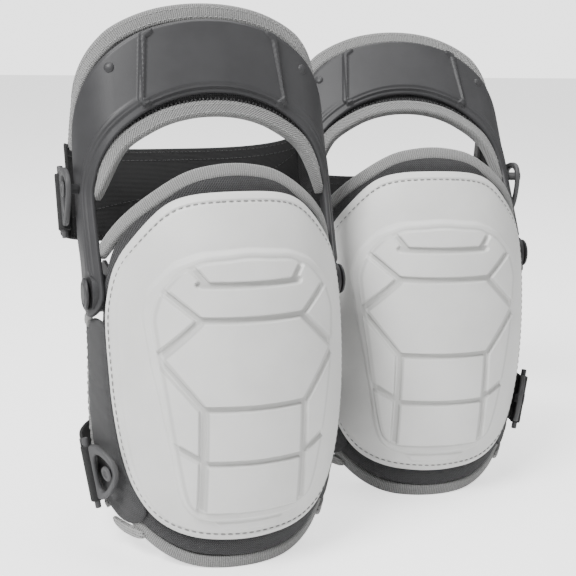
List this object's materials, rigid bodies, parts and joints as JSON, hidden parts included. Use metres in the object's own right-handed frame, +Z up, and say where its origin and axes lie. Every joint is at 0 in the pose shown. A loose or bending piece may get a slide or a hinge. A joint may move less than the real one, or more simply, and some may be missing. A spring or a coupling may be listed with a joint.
{
  "type": "hinged gel knee pads",
  "caption": "Pair of hinged gel knee pads: curved rubber cap on a padded shell, with a leaning thigh cuff on side rivets and hooked elastic straps.",
  "frame": {"origin": "on the floor, under the centre of the box round both pads", "axes": "+Z up, -Y the way the left pad faces, +X towards the right pad"},
  "size_m": [0.3826, 0.2838, 0.3502],
  "materials": {
    "cap": "matte moulded rubber",
    "cover": "woven nylon",
    "gel": "soft gel",
    "foam": "fabric-faced foam",
    "lining": "knitted mesh",
    "tape": "woven binding tape",
    "ribbed_tape": "diagonally ribbed binding",
    "wing": "woven nylon",
    "mesh": "spacer mesh",
    "plate": "moulded",
    "moulded": "satin moulded plastic",
    "washer": "smooth",
    "clip": "moulded",
    "strap": "woven elastic"
  },
  "bodies": {
    "left_pad": {"left_cap_shell": "cap", "left_pad_cover": "cover", "left_gel_insert": "gel", "left_foam_core": "foam", "left_inner_lining": "lining", "left_top_binding": "tape", "left_bottom_binding": "tape", "left_outer_wing": "wing", "left_inner_wing": "wing", "left_wing_binding": "tape", "left_wing_tabs": "mesh", "left_hinge_plates": "plate", "left_hinge_rivets": "moulded", "left_hinge_washers": "washer", "left_calf_button": "clip", "left_calf_strap": "strap", "left_calf_strap_tail": "strap"},
    "left_cuff": {"left_cuff_shell": "moulded", "left_cuff_liner": "lining", "left_cuff_top_binding": "ribbed_tape", "left_cuff_arch_binding": "ribbed_tape", "left_liner_rivets": "moulded", "left_cuff_post": "clip", "left_thigh_strap": "strap", "left_thigh_strap_tail": "strap"},
    "left_calf_ring": {"left_calf_clip": "clip"},
    "left_thigh_ring": {"left_thigh_clip": "clip"},
    "right_pad": {"right_cap_shell": "cap", "right_pad_cover": "cover", "right_gel_insert": "gel", "right_foam_core": "foam", "right_inner_lining": "lining", "right_top_binding": "tape", "right_bottom_binding": "tape", "right_outer_wing": "wing", "right_inner_wing": "wing", "right_wing_binding": "tape", "right_wing_tabs": "mesh", "right_hinge_plates": "plate", "right_hinge_rivets": "moulded", "right_hinge_washers": "washer", "right_calf_button": "clip", "right_calf_strap": "strap", "right_calf_strap_tail": "strap"},
    "right_cuff": {"right_cuff_shell": "moulded", "right_cuff_liner": "lining", "right_cuff_top_binding": "ribbed_tape", "right_cuff_arch_binding": "ribbed_tape", "right_liner_rivets": "moulded", "right_cuff_post": "clip", "right_thigh_strap": "strap", "right_thigh_strap_tail": "strap"},
    "right_calf_ring": {"right_calf_clip": "clip"},
    "right_thigh_ring": {"right_thigh_clip": "clip"}
  },
  "joints": [
    {"name": "left_cuff_hinge", "type": "hinge", "parent": "left_pad", "child": "left_cuff", "pos_m": [-0.0934, -0.0551, 0.17], "axis": [-1, 0, 0], "range_deg": [-20, 75]},
    {"name": "left_calf_ring_swing", "type": "hinge", "parent": "left_pad", "child": "left_calf_ring", "pos_m": [-0.18082, -0.06965, 0.05431], "axis": [0.1523, -0.1043, -0.9828], "range_deg": [0, 60]},
    {"name": "left_thigh_ring_swing", "type": "hinge", "parent": "left_cuff", "child": "left_thigh_ring", "pos_m": [-0.187, -0.01207, 0.22245], "axis": [0, -0.342, -0.9397], "range_deg": [0, 60]},
    {"name": "pads_apart", "type": "slide", "parent": "left_pad", "child": "right_pad", "axis": [1, 0, 0], "range_m": [0, 0.3]},
    {"name": "right_cuff_hinge", "type": "hinge", "parent": "right_pad", "child": "right_cuff", "pos_m": [0.0831, 0.0069, 0.17], "axis": [-0.9848, 0.1736, 0], "range_deg": [-37, 58]},
    {"name": "right_calf_ring_swing", "type": "hinge", "parent": "right_pad", "child": "right_calf_ring", "pos_m": [0.16667, -0.02261, 0.05431], "axis": [0.1681, 0.0763, 0.9828], "range_deg": [0, 60]},
    {"name": "right_thigh_ring_swing", "type": "hinge", "parent": "right_cuff", "child": "right_thigh_ring", "pos_m": [0.18509, 0.04627, 0.20757], "axis": [0.1045, 0.5927, 0.7986], "range_deg": [0, 60]}
  ]
}
